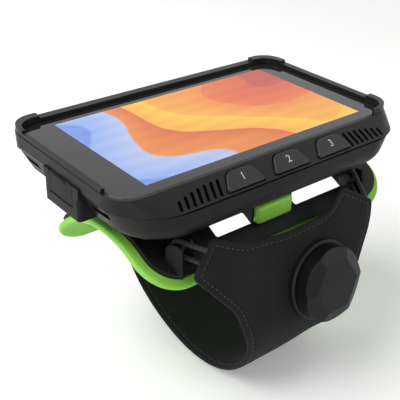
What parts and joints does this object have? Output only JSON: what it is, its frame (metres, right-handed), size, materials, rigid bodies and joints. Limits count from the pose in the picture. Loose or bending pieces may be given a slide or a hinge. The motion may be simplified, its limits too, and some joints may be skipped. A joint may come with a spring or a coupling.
{
  "type": "wrist-worn barcode data terminal",
  "caption": "Rugged data terminal with a 5-inch screen and front keys, held on a padded wrist mount with a laced cuff and a tightening dial.",
  "frame": {"origin": "apex of the forearm seat, on the underside of the saddle's pad, in the middle of its width", "axes": "+X along the forearm and the terminal's long side, to the right for the person who reads the screen; +Y away from that person; +Z out of the screen"},
  "size_m": [0.1449, 0.1095, 0.104],
  "materials": {
    "housing_plastic": "fine matt grain",
    "frame_plastic": "matt",
    "seal_rubber": "matt",
    "cover_glass": "clear",
    "display": "lit screen",
    "chassis_metal": "stamped",
    "circuit_board": "solder mask",
    "shield_metal": "stamped",
    "battery_case": "wrapped cell",
    "speaker_case": "satin",
    "key_plastic": "matt",
    "port_rubber": "matt",
    "connector_metal": "plated",
    "contact_metal": "gold plated",
    "screw_steel": "blackened",
    "mount_plastic": "matt",
    "latch_green": "satin",
    "spring_steel": "drawn wire",
    "pad_green": "soft matt",
    "strap_fabric": "laminated soft shell with a sewn edge",
    "lace": "braided",
    "dial_plastic": "matt",
    "knob_rubber": "soft touch"
  },
  "bodies": {
    "mount": {"saddle_plate": "mount_plastic", "saddle_pad": "pad_green", "mount_base": "mount_plastic", "base_screws": "screw_steel", "hook_left": "mount_plastic", "hook_right": "mount_plastic", "strap_rear": "strap_fabric", "strap_clamp": "mount_plastic", "clamp_rivets": "screw_steel", "latch_spring": "spring_steel"},
    "terminal": {"upper_housing": "frame_plastic", "lower_housing": "housing_plastic", "housing_seal": "seal_rubber", "cover_glass": "cover_glass", "display_panel": "display", "mid_frame": "chassis_metal", "main_board": "circuit_board", "shield_can": "shield_metal", "battery_pack": "battery_case", "speaker_left": "speaker_case", "speaker_right": "speaker_case", "keypad_board": "circuit_board", "port_connector": "connector_metal", "charge_contacts": "contact_metal", "housing_screws": "screw_steel", "dock_plate": "mount_plastic", "dock_screws": "screw_steel"},
    "key_1": {"key_1": "key_plastic"},
    "key_2": {"key_2": "key_plastic"},
    "key_3": {"key_3": "key_plastic"},
    "port_cover": {"port_cover": "port_rubber"},
    "latch": {"latch": "latch_green"},
    "cuff": {"strap_front": "strap_fabric", "dial_base": "dial_plastic", "dial_cartridge": "dial_plastic", "lace_left": "lace", "lace_right": "lace"},
    "dial_spool": {"dial_spool": "dial_plastic"},
    "dial_axle": {"dial_axle": "screw_steel"},
    "dial_knob": {"dial_knob": "knob_rubber"}
  },
  "joints": [
    {"name": "terminal_slide", "type": "slide", "parent": "mount", "child": "terminal", "axis": [0, 1, 0], "range_m": [0, 0.04]},
    {"name": "key_1_press", "type": "slide", "parent": "terminal", "child": "key_1", "axis": [0, 0.6031, -0.7977], "range_m": [0, 0.0006], "stiffness_N_per_m": 1500, "springref_m": -0.001},
    {"name": "key_2_press", "type": "slide", "parent": "terminal", "child": "key_2", "axis": [0, 0.6031, -0.7977], "range_m": [0, 0.0006], "stiffness_N_per_m": 1500, "springref_m": -0.001},
    {"name": "key_3_press", "type": "slide", "parent": "terminal", "child": "key_3", "axis": [0, 0.6031, -0.7977], "range_m": [0, 0.0006], "stiffness_N_per_m": 1500, "springref_m": -0.001},
    {"name": "port_cover_hinge", "type": "hinge", "parent": "terminal", "child": "port_cover", "pos_m": [-0.0771, 0.0064, 0.01755], "axis": [0, -1, 0], "range_deg": [0, 95]},
    {"name": "latch_press", "type": "slide", "parent": "mount", "child": "latch", "axis": [0, 1, 0], "range_m": [0, 0.002], "stiffness_N_per_m": 800, "springref_m": -0.002, "deforming": ["latch_spring"]},
    {"name": "cuff_open", "type": "hinge", "parent": "mount", "child": "cuff", "pos_m": [-0.002, -0.00843, -0.07066], "axis": [1, 0, 0], "range_deg": [0, 12], "deforming": ["lace_left", "lace_right"]},
    {"name": "spool_spin", "type": "hinge", "parent": "cuff", "child": "dial_spool", "pos_m": [0.008, -0.04635, -0.02527], "axis": [0, -0.9816, 0.1908], "continuous": true},
    {"name": "dial_pull", "type": "slide", "parent": "cuff", "child": "dial_axle", "axis": [0, -0.9816, 0.1908], "range_m": [0, 0.003]},
    {"name": "dial_spin", "type": "hinge", "parent": "dial_axle", "child": "dial_knob", "pos_m": [0.008, -0.04635, -0.02527], "axis": [0, -0.9816, 0.1908], "continuous": true}
  ],
  "couplings": [
    {"joint": "spool_spin", "follows": "dial_spin", "ratio": 1}
  ]
}
